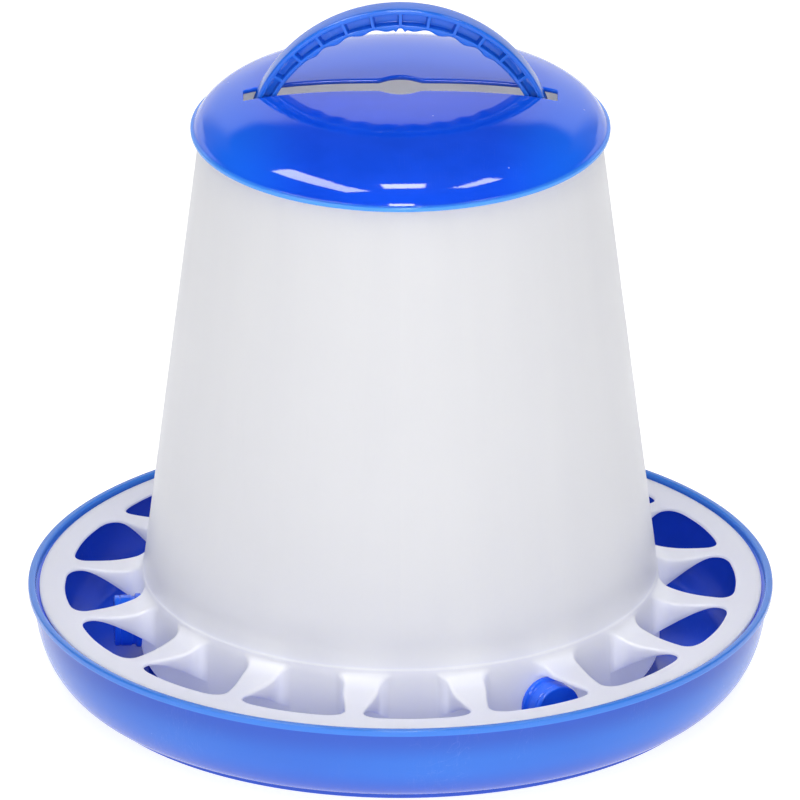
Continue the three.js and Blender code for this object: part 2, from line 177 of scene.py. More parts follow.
def rounded(corners, steps=5):
    """A path through (x, y, radius) corners with an arc at each corner that has a radius."""
    path = []
    for i, (x, y, radius) in enumerate(corners):
        if radius == 0 or i in (0, len(corners) - 1):
            path.append((x, y))
            continue
        here = Vector((x, y))
        back = (Vector(corners[i - 1][:2]) - here)
        ahead = (Vector(corners[i + 1][:2]) - here)
        reach = min(radius, back.length * 0.49, ahead.length * 0.49)
        start = here + back.normalized() * reach
        end = here + ahead.normalized() * reach
        for k in range(steps + 1):
            t = k / steps
            point = start.lerp(here, t).lerp(here.lerp(end, t), t)
            path.append((point.x, point.y))
    return path


def offset(path, distance):
    """The path moved to its left, each point square to the line through its neighbours."""
    moved = []
    for i, (x, y) in enumerate(path):
        before = Vector(path[max(i - 1, 0)])
        after = Vector(path[min(i + 1, len(path) - 1)])
        along = (after - before).normalized()
        moved.append((x - along.y * distance, y + along.x * distance))
    return moved


def smooth_step(value):
    value = min(max(value, 0), 1)
    return value * value * (3 - 2 * value)


# ------------------------------------------------------------------ meshes
def add_grid(bm, rows, wrap_rows=False, wrap_columns=True):
    """Faces between rows of points in millimetres."""
    made = [[bm.verts.new(Vector(point) * MM) for point in row] for row in rows]
    row_pairs = len(rows) if wrap_rows else len(rows) - 1
    columns = len(rows[0])
    for i in range(row_pairs):
        upper, lower = made[i], made[(i + 1) % len(rows)]
        for j in range(columns if wrap_columns else columns - 1):
            k = (j + 1) % columns
            bm.faces.new((upper[j], upper[k], lower[k], lower[j]))
    return made


def add_cap(bm, ring):
    """Closes a ring of vertices with a fan."""
    centre = bm.verts.new(sum((v.co for v in ring), Vector()) / len(ring))
    for i, vertex in enumerate(ring):
        bm.faces.new((vertex, ring[(i + 1) % len(ring)], centre))


def add_lathe(bm, path, closed=False, steps=LATHE_STEPS):
    rows = [[polar(radius, 360 * i / steps, z) for i in range(steps)] for radius, z in path]
    add_grid(bm, rows, wrap_rows=closed)


def add_block(bm, low, high, place=Matrix(), bevel=0.5):
    """A box with rounded edges between two corners in millimetres, then moved by a matrix in metres."""
    block = bmesh.new()
    bmesh.ops.create_cube(block, size=1)
    size = [h - l for l, h in zip(low, high)]
    middle = [(h + l) / 2 for l, h in zip(low, high)]
    for vertex in block.verts:
        vertex.co = Vector([(c * s + m) * MM for c, s, m in zip(vertex.co, size, middle)])
    bmesh.ops.bevel(block, geom=block.edges[:], offset=bevel * MM, segments=2, affect="EDGES", profile=0.5)
    block.transform(place)
    copy = bpy.data.meshes.new("block")
    block.to_mesh(copy)
    block.free()
    bm.from_mesh(copy)
    bpy.data.meshes.remove(copy)


def combined(bm, other, operation):
    """Two closed meshes as one: operation is UNION or DIFFERENCE. Both are used up."""
    pair = []
    for source in (bm, other):
        bmesh.ops.remove_doubles(source, verts=source.verts[:], dist=1e-6)
        bmesh.ops.dissolve_degenerate(source, edges=source.edges[:], dist=1e-7)
        bmesh.ops.recalc_face_normals(source, faces=source.faces[:])
        mesh = bpy.data.meshes.new("part")
        source.to_mesh(mesh)
        source.free()
        item = bpy.data.objects.new("part", mesh)
        bpy.context.scene.collection.objects.link(item)
        pair.append(item)
    modifier = pair[0].modifiers.new("combine", "BOOLEAN")
    modifier.operation = operation
    modifier.solver = "EXACT"
    modifier.use_self = operation == "UNION"
    modifier.object = pair[1]
    bpy.context.view_layer.update()
    graph = bpy.context.evaluated_depsgraph_get()
    result = bmesh.new()
    result.from_mesh(pair[0].evaluated_get(graph).to_mesh())
    for item in pair:
        mesh = item.data
        bpy.data.objects.remove(item)
        bpy.data.meshes.remove(mesh)
    return result


def make_piece(bm, name, material, body, nodes, sharp=38):
    bmesh.ops.remove_doubles(bm, verts=bm.verts[:], dist=1e-6)
    bmesh.ops.dissolve_degenerate(bm, edges=bm.edges[:], dist=1e-7)
    bmesh.ops.recalc_face_normals(bm, faces=bm.faces[:])
    mesh = bpy.data.meshes.new(name)
    bm.to_mesh(mesh)
    bm.free()
    mesh.shade_smooth()
    mesh.set_sharp_from_angle(angle=math.radians(sharp))
    mesh.materials.append(material)
    piece = bpy.data.objects.new(name, mesh)
    bpy.context.scene.collection.objects.link(piece)
    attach(piece, body)
    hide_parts(*nodes)
    return piece


# ------------------------------------------------------------------ materials
class Graph:
    """Material nodes in short form. An input is a number, a colour or another node's output."""

    def __init__(self, name):
        self.material = bpy.data.materials.new(name)
        self.material.use_nodes = True
        self.tree = self.material.node_tree
        self.tree.nodes.clear()

    def add(self, kind, inputs=None, output=0, **settings):
        node = self.tree.nodes.new("ShaderNode" + kind)
        for key, value in settings.items():
            setattr(node, key, value)
        for key, value in (inputs or {}).items():
            socket = node.inputs[key]
            if isinstance(value, bpy.types.NodeSocket):
                self.tree.links.new(value, socket)
            else:
                socket.default_value = value
        return node.outputs[output]

    def math(self, operation, a, b=0.0, clamp=False):
        return self.add("Math", {0: a, 1: b}, operation=operation, use_clamp=clamp)

    def mix(self, factor, a, b):
        return self.add("Mix", {0: factor, 6: a, 7: b}, output=2, data_type="RGBA")

    def blend(self, value, low, high, to_low=0.0, to_high=1.0):
        return self.add(
            "MapRange",
            {"Value": value, "From Min": low, "From Max": high, "To Min": to_low, "To Max": to_high},
            interpolation_type="SMOOTHSTEP",
        )

    def axis(self, vector, name):
        """One of a vector's X, Y and Z."""
        parts = self.tree.nodes.new("ShaderNodeSeparateXYZ")
        self.tree.links.new(vector, parts.inputs[0])
        return parts.outputs[name]

    def position(self):
        return self.add("NewGeometry", output="Position")

    def noise(self, vector, scale, detail=3.0, roughness=0.5, distortion=0.0):
        return self.add(
            "TexNoise",
            {
                "Vector": vector,
                "Scale": scale,
                "Detail": detail,
                "Roughness": roughness,
                "Distortion": distortion,
            },
        )

    def finish(self, shader):
        output = self.tree.nodes.new("ShaderNodeOutputMaterial")
        self.tree.links.new(shader, output.inputs["Surface"])
        return self.material


def object_coordinates(graph):
    return graph.add("TexCoord", output="Object")


def cylinder_coordinates(graph, place):
    """Angle round the Z axis, height and radius, so that marks can run up or round a turned piece."""
    parts = graph.tree.nodes.new("ShaderNodeSeparateXYZ")
    graph.tree.links.new(place, parts.inputs[0])
    x, y, z = parts.outputs
    radius = graph.math("SQRT", graph.math("ADD", graph.math("MULTIPLY", x, x), graph.math("MULTIPLY", y, y)))
    angle = graph.math("ARCTAN2", x, y)
    return angle, z, radius


def speckles(graph, place, scale, size, share):
    """Small round specks: 1 on a speck and 0 between them. share is how many cells have one."""
    cells = graph.tree.nodes.new("ShaderNodeTexVoronoi")
    cells.inputs["Scale"].default_value = scale
    graph.tree.links.new(place, cells.inputs["Vector"])
    dot = graph.blend(cells.outputs["Distance"], size * 0.6, size, 1.0, 0.0)
    chosen = graph.math("LESS_THAN", graph.add("SeparateColor", {0: cells.outputs["Color"]}), share)
    return graph.math("MULTIPLY", dot, chosen)


def scuffs(graph, place, stretch, turn, threshold):
    """Fine hairline scratches: thin bands of noise drawn out along one direction."""
    mapped = graph.add("Mapping", {"Vector": place, "Rotation": turn, "Scale": stretch})
    lines = graph.noise(mapped, 1.0, detail=2.0, roughness=0.4)
    middle = graph.math("ABSOLUTE", graph.math("SUBTRACT", lines, 0.5))
    patches = graph.noise(place, 22.0, detail=2.0)
    thin = graph.blend(middle, 0.0, threshold, 1.0, 0.0)
    return graph.math("MULTIPLY", thin, graph.blend(patches, 0.52, 0.66))


def blue_plastic(name, colour, roughness, painted_light=None, dust=0.12, wear=0.06):
    """Glossy moulded polypropylene. An optional function paints light into parts of its colour, such as
    glowing walls and thin lit edges.
    """
    graph = Graph(name)
    place = object_coordinates(graph)
    cloud = graph.noise(place, 14.0, detail=4.0, roughness=0.6)
    dark = tuple(c * 0.92 for c in colour)
    light = tuple(min(c * 1.06 + 0.002, 1) for c in colour)
    base = graph.mix(graph.blend(cloud, 0.35, 0.65), (*dark, 1), (*light, 1))
    # painted light and shade laid over the base colour, where a piece is given it
    if painted_light:
        base = painted_light(graph, place, base)
    scratch = graph.math(
        "MAXIMUM",
        scuffs(graph, place, (900.0, 30.0, 60.0), (0.2, 0.3, 0.5), 0.010),
        scuffs(graph, place, (40.0, 800.0, 50.0), (0.1, 0.4, -0.7), 0.008),
    )
    specks = speckles(graph, place, 190.0, 0.11, 0.025)
    marks = graph.math("MAXIMUM", graph.math("MULTIPLY", scratch, wear), graph.math("MULTIPLY", specks, dust))
    base = graph.mix(marks, base, (0.45, 0.60, 0.98, 1))
    smear = graph.noise(place, 38.0, detail=5.0, roughness=0.65, distortion=0.4)
    gloss = graph.blend(smear, 0.3, 0.75, roughness * 0.85, roughness * 1.3)
    gloss = graph.math("ADD", gloss, graph.math("MULTIPLY", marks, 0.3), clamp=True)
    fine = graph.noise(place, 1400.0, detail=2.0)
    sink = graph.noise(place, 24.0, detail=1.0)
    height = graph.math("ADD", graph.math("MULTIPLY", fine, 0.003), graph.math("MULTIPLY", sink, 0.10))
    height = graph.math("SUBTRACT", height, graph.math("MULTIPLY", scratch, 0.004))
    bump = graph.add("Bump", {"Strength": 0.3, "Distance": 0.0010, "Height": height})
    shader = graph.add(
        "BsdfPrincipled",
        {
            "Base Color": base,
            "Roughness": gloss,
            "IOR": 1.47,
            "Normal": bump,
        },
    )
    return graph.finish(shader)


def milky_plastic(name):
    """Translucent white polypropylene: faint flow marks up the wall, and a painted glow (emission) low down,
    in the pockets by the skirt and along the seam, standing in for light through the plastic.
    """
    graph = Graph(name)
    place = object_coordinates(graph)
    angle, height, radius = cylinder_coordinates(graph, place)
    round_wall = graph.math("MULTIPLY", angle, 2.6)
    up_wall = graph.math("MULTIPLY", height, 1.6)
    flow = graph.add("CombineXYZ", {0: round_wall, 1: up_wall})
    streaks = graph.noise(flow, 1.5, detail=3.0, roughness=0.5, distortion=0.3)
    cloud = graph.noise(place, 7.0, detail=3.0)
    tone = graph.math("ADD", graph.math("MULTIPLY", streaks, 0.45), graph.math("MULTIPLY", cloud, 0.55))
    base = graph.mix(graph.blend(tone, 0.3, 0.7), (0.812, 0.812, 0.852, 1), (0.850, 0.848, 0.876, 1))
    scratch = scuffs(graph, place, (700.0, 40.0, 25.0), (0.1, 0.2, 0.4), 0.010)
    base = graph.mix(graph.math("MULTIPLY", scratch, 0.12), base, (0.66, 0.68, 0.74, 1))
    smear = graph.noise(place, 30.0, detail=4.0, roughness=0.6)
    gloss = graph.blend(smear, 0.3, 0.7, 0.32, 0.42)
    fine = graph.noise(place, 1100.0, detail=2.0)
    waves = graph.math("ADD", graph.math("MULTIPLY", fine, 0.008), graph.math("MULTIPLY", cloud, 0.10))
    bump = graph.add("Bump", {"Strength": 0.25, "Distance": 0.0010, "Height": waves})
    # painted glow (emission) standing in for light through the plastic: stronger low down, in the pockets by
    # the skirt, a faint lighter line along the seam, and a little everywhere
    lower = graph.blend(height, 35 * MM, 120 * MM, 0.075, 0.0)
    painted_niche_glow = graph.math(
        "MULTIPLY",
        graph.blend(radius, SKIRT_RADIUS * MM, (SKIRT_RADIUS + 11) * MM, 0.12, 0.0),
        graph.blend(height, 40 * MM, 60 * MM, 1.0, 0.0),
    )
    from_seam = graph.math("ABSOLUTE", graph.math("SUBTRACT", height, (SEAM - 0.3) * MM))
    joint = graph.blend(from_seam, 0.3 * MM, 1.0 * MM, 0.07, 0.0)
    through = graph.math("ADD", graph.math("ADD", lower, painted_niche_glow), graph.math("ADD", joint, 0.03))
    shader = graph.add(
        "BsdfPrincipled",
        {
            "Base Color": base,
            "Roughness": gloss,
            "IOR": 1.45,
            "Normal": bump,
            "Subsurface Weight": 0.85,
            "Subsurface Radius": (1.0, 1.0, 1.05),
            "Subsurface Scale": 0.012,
            "Emission Color": (0.87, 0.90, 1.0, 1),
            "Emission Strength": through,
        },
    )
    return graph.finish(shader)


def facing_out(graph):
    """1 where a surface faces away from the feeder's axis, 0 where it faces up, down or inwards."""
    normal = graph.tree.nodes.new("ShaderNodeSeparateXYZ")
    graph.tree.links.new(graph.add("NewGeometry", output="Normal"), normal.inputs[0])
    spot = graph.tree.nodes.new("ShaderNodeSeparateXYZ")
    flat = graph.add("VectorMath", {0: graph.position(), 1: (1.0, 1.0, 0.0)}, operation="MULTIPLY")
    graph.tree.links.new(graph.add("VectorMath", {0: flat}, operation="NORMALIZE"), spot.inputs[0])
    x = graph.math("MULTIPLY", normal.outputs[0], spot.outputs[0])
    y = graph.math("MULTIPLY", normal.outputs[1], spot.outputs[1])
    return graph.math("ADD", x, y)


def pan_painted_light(graph, place, base):
    """Painted light: the trough's outer wall is painted lighter in a band round its middle height, standing
    in for light through it, and the thin lip is painted lighter still.
    """
    _, height, radius = cylinder_coordinates(graph, place)
    # the painted light goes only on the outward-facing outer wall
    outer = graph.blend(facing_out(graph), 0.05, 0.5)
    outer = graph.math("MULTIPLY", outer, graph.blend(radius, 150 * MM, 156 * MM))
    cloud = graph.noise(place, 5.0, detail=2.0)
    # painted glow: lighter round the wall's middle height, fading below and above, made uneven by noise
    middle = graph.blend(height, 6 * MM, 22 * MM)
    upper = graph.blend(height, 26 * MM, (LIP_BOTTOM - 2) * MM, 1.0, 0.15)
    uneven = graph.blend(cloud, 0.25, 0.7, 0.55, 1.0)
    glow = graph.math("MULTIPLY", graph.math("MULTIPLY", middle, upper), uneven)
    wall = graph.mix(glow, (0.022, 0.084, 0.500, 1), (0.024, 0.152, 0.640, 1))
    # the outer wall's own colour replaced by the painted glow
    base = graph.mix(outer, base, wall)
    # painted highlight and glow: the lip's top and outside painted a lighter blue
    lip = graph.blend(height, (LIP_BOTTOM - 0.6) * MM, (LIP_BOTTOM + 0.2) * MM)
    rim = graph.blend(radius, (LIP_INNER - 1.5) * MM, (LIP_INNER - 0.2) * MM)
    return graph.mix(graph.math("MULTIPLY", lip, rim), base, (0.038, 0.195, 0.700, 1))


def lid_painted_light(graph, place, base):
    """Painted light: the lid's sides and back are painted a lighter blue, standing in for light through them,
    and the thin brim is painted lighter still.
    """
    _, height, radius = cylinder_coordinates(graph, place)
    # mask for the painted lighter brim: low down and near the outer edge
    low = graph.blend(height, (LID_BASE + 1.6) * MM, (LID_BASE + 3.4) * MM, 1.0, 0.0)
    outer = graph.blend(radius, (BRIM_RADIUS - 2.5) * MM, (BRIM_RADIUS - 0.8) * MM)
    # painted light: the sides and the back painted a lighter blue than the front
    across = graph.math("ABSOLUTE", graph.axis(place, "X"))
    side = graph.blend(across, 42 * MM, 88 * MM)
    back = graph.blend(graph.axis(place, "Y"), -25 * MM, 50 * MM, 0.0, 0.8)
    base = graph.mix(graph.math("MAXIMUM", side, back), base, (0.006, 0.125, 0.820, 1))
    # painted glow and highlight: the thin brim painted lighter still
    return graph.mix(graph.math("MULTIPLY", low, outer), base, (0.055, 0.290, 0.860, 1))


PAN_BLUE = blue_plastic("pan_blue", (0.012, 0.072, 0.660), 0.18, painted_light=pan_painted_light)
LID_BLUE = blue_plastic("lid_blue", (0.003, 0.066, 0.720), 0.06, painted_light=lid_painted_light, dust=0.5, wear=0.015)
HANDLE_BLUE = blue_plastic("handle_blue", (0.012, 0.140, 0.700), 0.12)
KNOB_BLUE = blue_plastic("knob_blue", (0.014, 0.145, 1.000), 0.10)
MILKY = milky_plastic("milky_white")


# ------------------------------------------------------------------ base pan
def pan_section():
    """From the axis under the cone, out round the wall and lip, and back over the floor to the axis."""
    wall = bezier(
        (FOOT_RADIUS, FOOT_HEIGHT),
        (FOOT_RADIUS + WALL_FLARE, FOOT_HEIGHT + 1),
        (WALL_TOP_RADIUS - 0.3, FOOT_HEIGHT + WALL_BEND),
        (WALL_TOP_RADIUS, LIP_BOTTOM),
        28,
    )
    inside = offset(wall, WALL)[::-1]
    under = FLOOR - WALL
    foot_inner = FOOT_RADIUS - FOOT_WIDTH
    ledge_foot = LEDGE - 2 * LEDGE_DEPTH
    below = rounded([
        (0.0, CONE_TOP - WALL, 0),
        (CONE_NOSE_RADIUS, CONE_TOP - CONE_NOSE_HEIGHT - WALL, CONE_NOSE_ROUND),
        (CONE_RADIUS + 1, under, CONE_FOOT_ROUND),
        (foot_inner, under, 1),
        (foot_inner, 0, 0.8),
        (FOOT_RADIUS, 0, 0.8),
        (FOOT_RADIUS, FOOT_HEIGHT, 0),
    ])
    lip = rounded([
        (WALL_TOP_RADIUS, LIP_BOTTOM - 1, 0),
        (WALL_TOP_RADIUS, LIP_BOTTOM, 0.5),
        (PAN_RADIUS, LIP_BOTTOM, 0.8),
        (PAN_RADIUS, RIM_TOP, 1.1),
        (LIP_INNER, RIM_TOP, 1.2),
        (LIP_INNER, LEDGE, 0.5),
        (LEDGE_RADIUS, LEDGE, 0.5),
        (LEDGE_RADIUS, LEDGE - LEDGE_DEPTH, 0.8),
        (WALL_TOP_RADIUS - WALL, ledge_foot, 0),
    ])
    floor = rounded([
        inside[-1] + (0,),
        (CONE_RADIUS, FLOOR, CONE_FOOT_ROUND),
        (CONE_NOSE_RADIUS, CONE_TOP - CONE_NOSE_HEIGHT, CONE_NOSE_ROUND),
        (0.0, CONE_TOP, 0),
    ])
    inner_wall = [point for point in inside if point[1] < ledge_foot - 0.5]
    outer_wall = [point for point in wall if point[1] < LIP_BOTTOM - 1.5]
    return below[:-1] + outer_wall + lip + inner_wall[:-1] + floor


def add_post(bm, degrees):
    """A channel on the pan's floor just inside the skirt, that a clamp bolt goes through."""
    place = Matrix.Rotation(math.radians(degrees), 4, "Z")
    half = POST_WIDTH / 2
    front = -POST_RADIUS
    back = front + POST_DEPTH
    bottom = FLOOR - 1
    for side in (-1, 1):
        low, high = sorted((side * half, side * (half - WALL)))
        add_block(bm, (low, front, bottom), (high, back, POST_TOP), place)
    inner = half - WALL + 0.3
    rows = []
    steps = 48
    for depth, edge in ((front, 0), (front + WALL, 0), (front + WALL, 1), (front, 1)):
        row = []
        for i in range(steps):
            a = TURN * i / steps
            x, z = math.cos(a), math.sin(a)
            if edge:
                reach = inner / max(abs(x), abs(z))
                row.append((x * reach, depth, KNOB_Z + z * reach))
            else:
                row.append((x * BORE_RADIUS, depth, KNOB_Z + z * BORE_RADIUS))
        rows.append(row)
    made = add_grid(bm, rows, wrap_rows=True)
    bmesh.ops.transform(bm, matrix=place, verts=[v for row in made for v in row])
    add_block(bm, (-inner, front, bottom), (inner, front + WALL, KNOB_Z - inner + 0.1), place, 0.2)
    add_block(bm, (-inner, front, KNOB_Z + inner - 0.1), (inner, front + WALL, POST_TOP), place, 0.2)


def base_pan():
    bm = bmesh.new()
    add_lathe(bm, pan_section())
    for i in range(KNOB_COUNT):
        add_post(bm, KNOB_PHASE + KNOB_PITCH * i)
    return make_piece(bm, "blue_base_pan", PAN_BLUE, "pan", ["base_pan"])


# ------------------------------------------------------------------ feed ring
def hopper_radius(z):
    return SKIRT_RADIUS - TAPER * (z - TAPER_START)


def web_height(radius):
    """Top of a web's middle: a fillet up to the skirt, flat towards the rim."""
    if radius >= WEB_FLAT_RADIUS:
        return RING_TOP
    root = SKIRT_RADIUS - 1
    a = root - 2 * (SKIRT_RADIUS + 3) + WEB_FLAT_RADIUS
    b = 2 * (SKIRT_RADIUS + 3 - root)
    t = (-b + math.sqrt(max(b * b - 4 * a * (root - radius), 0))) / (2 * a)
    return RING_TOP + (WEB_ROOT_TOP - RING_TOP) * (1 - t) ** 2


def gusset_bottom(radius):
    """Lower edge of the walls along a hole's sides."""
    share = max(GUSSET_END - radius, 0) / (GUSSET_END - SKIRT_RADIUS + 1)
    return RING_TOP - RING_THICKNESS - (GUSSET_DEPTH - RING_THICKNESS) * share ** 1.4


def half_hole():
    """One side of a feeding hole in plan, as (across, outwards), from the skirt to the far side.
    The second value is the index in its corner from which the deck runs out to the rim."""
    inner = SKIRT_RADIUS - WALL / 2
    neck_end = inner + NECK_FILLET
    corner_end = HOLE_CORNER - HOLE_WIDE
    fillet = bezier(
        (NECK_FILLET - HOLE_NECK, inner),
        (NECK_FILLET / 3 - HOLE_NECK, inner + 0.7),
        (-HOLE_NECK - 0.2, inner + 2.7),
        (-HOLE_NECK - 0.7, neck_end),
        12,
    )
    side = bezier(
        (-HOLE_NECK - 0.7, neck_end),
        (-HOLE_NECK - 1.5, neck_end + 5),
        (-HOLE_WIDE + 3, HOLE_WIDEST - 10),
        (-HOLE_WIDE, HOLE_WIDEST),
        18,
    )
    corner = bezier(
        (-HOLE_WIDE, HOLE_WIDEST),
        (-HOLE_WIDE - 1, HOLE_WIDEST + 6.5),
        (corner_end - 5, HOLE_FAR - 1.5),
        (corner_end, HOLE_FAR - 1),
        12,
    )
    far = [(corner_end * (1 - i / 6), HOLE_FAR - 1 + (i / 6) * (2 - i / 6)) for i in range(7)]
    return fillet[:-1] + side[:-1] + corner + far[1:], len(fillet) + len(side) + 4


def knob_limit(x, y):
    """Lowest that the ring may come above a knob and outwards of it, or None away from the knobs."""
    for i in range(KNOB_COUNT):
        a = math.radians(KNOB_PHASE + KNOB_PITCH * i)
        out = x * math.sin(a) - y * math.cos(a)
        across = x * math.cos(a) + y * math.sin(a)
        clear = KNOB_RADIUS + KNOB_CLEARANCE
        if SKIRT_RADIUS - 2 < out < GUSSET_END + 4 and abs(across) < clear:
            return KNOB_Z + math.sqrt(clear ** 2 - across ** 2)
    return None


def hole_columns():
    """For each point round a hole: its place, the direction into the material, and where its column ends."""
    left, turn_at = half_hole()
    whole = left + [(-x, y) for x, y in left[-2::-1]]
    half_pitch = HOLE_PITCH / 2
    corner_radius = math.hypot(*left[turn_at])
    corner_angle = math.degrees(math.atan2(-left[turn_at][0], left[turn_at][1]))
    columns = []
    for i, (across, outwards) in enumerate(whole):
        before = Vector(whole[max(i - 1, 0)])
        after = Vector(whole[min(i + 1, len(whole) - 1)])
        along = (after - before).normalized()
        into = Vector((-along.y, along.x))
        radius = math.hypot(across, outwards)
        angle = math.degrees(math.atan2(across, outwards))
        side = -1 if i < len(left) else 1
        nearest = min(i, len(whole) - 1 - i)
        if nearest <= turn_at:
            start = HOLE_WIDEST - 10
            progress = max(radius - start, 0) / (corner_radius - start)
            end_radius = radius + (RING_RADIUS - corner_radius) * smooth_step(progress)
            end_angle = side * half_pitch
        else:
            end_radius = RING_RADIUS
            end_angle = half_pitch * angle / corner_angle
        columns.append((across, outwards, into, end_radius, end_angle))
    return columns


def ring_sector(middle, columns):
    """One hole's share of the ring: over the deck to the hole's edge, down its wall and back beneath."""
    turn = math.radians(middle)
    deck_steps = 9
    inside_skirt = SKIRT_RADIUS - 1.6
    made = []
    for across, outwards, into, end_radius, end_angle in columns:
        aim = math.radians(end_angle)
        end = Vector((end_radius * math.sin(aim), end_radius * math.cos(aim)))

        def place(inset):
            point = Vector((across, outwards)) + into * inset
            if point.length < inside_skirt:
                point = point.normalized() * inside_skirt
            return point

        def at(point, z):
            x, out = point
            cosine, sine = math.cos(turn), math.sin(turn)
            return Vector((x * cosine + out * sine, x * sine - out * cosine, z))

        top = web_height(place(0).length)
        under_point = place(RING_THICKNESS)
        under = web_height(under_point.length) - RING_THICKNESS
        bottom = min(gusset_bottom(place(0).length), under)
        spot = at(place(0), 0)
        limit = knob_limit(spot.x, spot.y)
        if limit:
            bottom = min(max(bottom, limit), under)
        upper = min(EDGE_ROUND, 0.5 * (top - bottom))
        lower = min(0.8, 0.3 * (top - bottom))
        column = []
        for k in range(deck_steps):
            point = end.lerp(place(EDGE_ROUND), k / deck_steps)
            edge = 0.4 * smooth_step((point.length - RING_RADIUS + 0.8) / 0.8)
            column.append(at(point, web_height(point.length) - edge))
        for k in range(5):
            bend = math.pi / 2 * k / 4
            point = place(EDGE_ROUND * (1 - math.sin(bend)))
            column.append(at(point, web_height(point.length) - upper * (1 - math.cos(bend))))
        for k in range(1, 4):
            column.append(at(place(0), top - upper + (bottom + lower - top + upper) * k / 3))
        column.append(at(place(0.3), bottom + lower * 0.3))
        column.append(at(place(RING_THICKNESS / 2), bottom))
        column.append(at(place(RING_THICKNESS - 0.3), bottom + min(lower * 0.3, (under - bottom) / 2)))
        column.append(at(under_point, under))
        for k in range(deck_steps - 1, -1, -1):
            point = end.lerp(under_point, k / deck_steps)
            column.append(at(point, web_height(point.length) - RING_THICKNESS))
        made.append(column)
    return [list(row) for row in zip(*made)]


def height_slots():
    """Cutters for the upright slots that slide on the clamp bolts."""
    bm = bmesh.new()
    outline = []
    for start, middle in ((0, KNOB_Z), (math.pi, KNOB_Z - FEED_TRAVEL)):
        for i in range(25):
            a = start + math.pi * i / 24
            outline.append((BORE_RADIUS * math.cos(a), middle + BORE_RADIUS * math.sin(a)))
    for i in range(KNOB_COUNT):
        turn = Matrix.Rotation(math.radians(KNOB_PHASE + KNOB_PITCH * i), 4, "Z")
        rows = [[(x, -SKIRT_RADIUS + y, z) for x, z in outline] for y in (-4, 6)]
        made = add_grid(bm, rows)
        for row in made:
            bm.faces.new(row)
        bmesh.ops.transform(bm, matrix=turn, verts=[v for row in made for v in row])
    return bm


def skirt():
    collar = [hopper_radius(z) - HOPPER_WALL - 0.3 for z in (SEAM, COLLAR_TOP)]
    wall = SKIRT_RADIUS - WALL
    joint = SEAM - SEAM_GAP
    section = rounded([
        (wall, 30, 0),
        (wall, SKIRT_BOTTOM, 0.9),
        (SKIRT_RADIUS, SKIRT_BOTTOM, 0.9),
        (SKIRT_RADIUS, TAPER_START, 6),
        (hopper_radius(joint), joint, 0.04),
        (collar[0], joint, 0),
        (collar[1], COLLAR_TOP, 0.5),
        (collar[1] - COLLAR_WALL, COLLAR_TOP, 0.5),
        (collar[0] - COLLAR_WALL, SEAM - 2.3, 2),
        (wall, TAPER_START + 0.5, 2),
        (wall, 30, 0),
    ])
    bm = bmesh.new()
    add_lathe(bm, section[:-1], closed=True)
    return combined(bm, height_slots(), "DIFFERENCE")


def feed_ring():
    bm = bmesh.new()
    columns = hole_columns()
    for i in range(HOLE_COUNT):
        made = add_grid(bm, ring_sector(HOLE_PHASE + HOLE_PITCH * i, columns), wrap_columns=False)
        top, bottom = made[0], made[-1]
        for j in range(len(top) - 1):
            if all(v.co.xy.length > (RING_RADIUS - 0.01) * MM for v in (top[j], top[j + 1])):
                bm.faces.new((top[j], top[j + 1], bottom[j + 1], bottom[j]))
        for column in (0, -1):
            bm.faces.new([row[column] for row in made])
    bm = combined(bm, skirt(), "UNION")
    return make_piece(bm, "white_feed_ring", MILKY, "hopper", ["feed_ring"], sharp=50)


# ------------------------------------------------------------------ hopper
def hopper():
    bm = bmesh.new()
    foot, top = SEAM - 0.3, HOPPER_TOP
    inner_foot = hopper_radius(foot) - HOPPER_WALL
    inner_top = hopper_radius(top) - HOPPER_WALL
    middle = (foot + top) / 2
    section = rounded([
        (hopper_radius(middle), middle, 0),
        (hopper_radius(top), top, 0.9),
        (inner_top, top, 0.9),
        (inner_foot, foot, 0.5),
        (hopper_radius(foot), foot, 0.04),
        (hopper_radius(middle), middle, 0),
    ])
    add_lathe(bm, section[:-1], closed=True)
    for side in (-1, 1):
        brackets = bmesh.new()
        add_bracket(brackets, side)
        bm = combined(bm, brackets, "UNION")
    return make_piece(bm, "white_hopper", MILKY, "hopper", ["hopper"])


def add_bracket(bm, side):
    """The shelf inside the hopper's mouth, in four bars round the handle's foot, and the gusset under it."""
    z = BRACKET_Z - BRACKET_THICKNESS
    outer = hopper_radius(z) - HOPPER_WALL / 2
    half_stem = STEM_WIDTH / 2 + STEM_CLEARANCE
    half_handle = HANDLE_HALF_WIDTH + STEM_CLEARANCE
    half = BRACKET_WIDTH / 2
    spans = [
        (BRACKET_INNER, STEM_X - half_stem, -half, half),
        (STEM_X + half_stem, outer, -half, half),
        (STEM_X - half_stem - 0.5, STEM_X + half_stem + 0.5, half_handle, half),
        (STEM_X - half_stem - 0.5, STEM_X + half_stem + 0.5, -half, -half_handle),
    ]
    for x0, x1, y0, y1 in spans:
        low, high = sorted((side * x0, side * x1))
        add_block(bm, (low, y0, z), (high, y1, BRACKET_Z), bevel=0.3)
    corner = [(STEM_X + STEM_WIDTH, z + 0.5), (outer, z + 0.5), (outer, z - BRACKET_GUSSET)]
    half_gusset = BRACKET_GUSSET_WIDTH / 2
    rows = [[(side * x, y, h) for x, h in corner] for y in (-half_gusset, half_gusset)]
    made = add_grid(bm, rows)
    for row in made:
        bm.faces.new(row)


